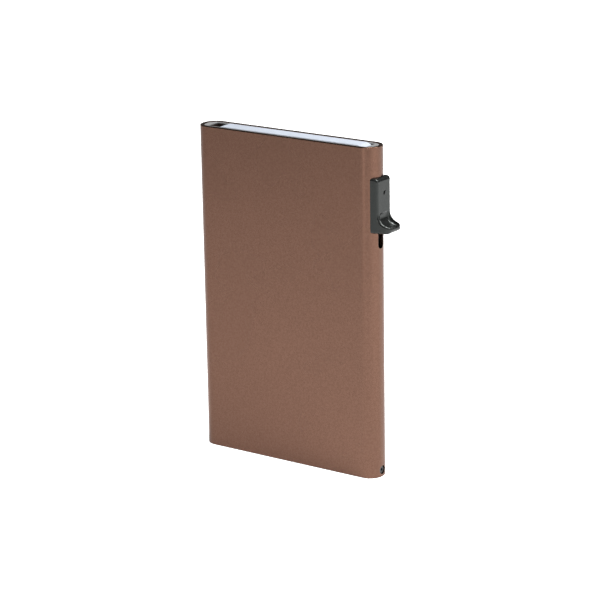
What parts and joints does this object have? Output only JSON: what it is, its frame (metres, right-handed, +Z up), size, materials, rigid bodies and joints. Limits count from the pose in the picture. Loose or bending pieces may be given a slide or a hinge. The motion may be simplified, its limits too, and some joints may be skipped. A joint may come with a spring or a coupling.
{
  "type": "minimalist wallet",
  "caption": "Slim metal card case with rounded sides; pressing a thumb slider on its edge lifts a stack of cards out of the open top in steps.",
  "frame": {"origin": "middle of the flat base, on the face that the case stands on", "axes": "+X towards the thumb slider's side, +Y towards the back face, +Z up to the open mouth"},
  "size_m": [0.068, 0.0088, 0.1],
  "materials": {
    "anodised_shell": "fine bead-blasted, brown anodised, satin",
    "grey_plastic": "moulded, fine grain",
    "dark_plastic": "moulded, fine grain",
    "kicker_plastic": "moulded acetal, smooth",
    "slider_grey": "satin gunmetal coating",
    "steel": "drawn and ground",
    "black_steel": "black oxide, satin",
    "felt": "short dense felt",
    "card_white": "laminated, satin gloss"
  },
  "bodies": {
    "case": {"case_shell": "anodised_shell", "mouth_frame": "grey_plastic", "base_cap": "dark_plastic", "side_screws": "black_steel", "ejector_cradle": "dark_plastic", "kicker_pin": "steel", "right_rail": "dark_plastic", "left_rail": "dark_plastic", "brake_pad_front_left": "felt", "brake_pad_front_right": "felt", "brake_pad_back_left": "felt", "brake_pad_back_right": "felt"},
    "slider": {"thumb_slider": "slider_grey", "drive_bar": "black_steel", "drive_stud": "steel"},
    "kicker": {"kicker": "kicker_plastic"},
    "card_1": {"card_1": "card_white"},
    "card_2": {"card_2": "card_white"},
    "card_3": {"card_3": "card_white"},
    "card_4": {"card_4": "card_white"},
    "card_5": {"card_5": "card_white"},
    "card_6": {"card_6": "card_white"}
  },
  "joints": [
    {"name": "slider_press", "type": "slide", "parent": "case", "child": "slider", "axis": [0, 0, -1], "range_m": [0, 0.0075]},
    {"name": "kicker_swing", "type": "hinge", "parent": "case", "child": "kicker", "pos_m": [0.018, 0, 0.0088], "axis": [0, 1, 0], "range_deg": [0, 40.38]},
    {"name": "card_1_rise", "type": "slide", "parent": "case", "child": "card_1", "axis": [0, 0, 1], "range_m": [0, 0.0045]},
    {"name": "card_2_rise", "type": "slide", "parent": "case", "child": "card_2", "axis": [0, 0, 1], "range_m": [0, 0.0072]},
    {"name": "card_3_rise", "type": "slide", "parent": "case", "child": "card_3", "axis": [0, 0, 1], "range_m": [0, 0.0099]},
    {"name": "card_4_rise", "type": "slide", "parent": "case", "child": "card_4", "axis": [0, 0, 1], "range_m": [0, 0.0126]},
    {"name": "card_5_rise", "type": "slide", "parent": "case", "child": "card_5", "axis": [0, 0, 1], "range_m": [0, 0.0153]},
    {"name": "card_6_rise", "type": "slide", "parent": "case", "child": "card_6", "axis": [0, 0, 1], "range_m": [0, 0.018]}
  ],
  "couplings": [
    {"joint": "kicker_swing", "follows": "slider_press", "rad_per_m": 93.949},
    {"joint": "card_1_rise", "follows": "slider_press", "ratio": 0.6},
    {"joint": "card_2_rise", "follows": "slider_press", "ratio": 0.96},
    {"joint": "card_3_rise", "follows": "slider_press", "ratio": 1.32},
    {"joint": "card_4_rise", "follows": "slider_press", "ratio": 1.68},
    {"joint": "card_5_rise", "follows": "slider_press", "ratio": 2.04},
    {"joint": "card_6_rise", "follows": "slider_press", "ratio": 2.4}
  ]
}
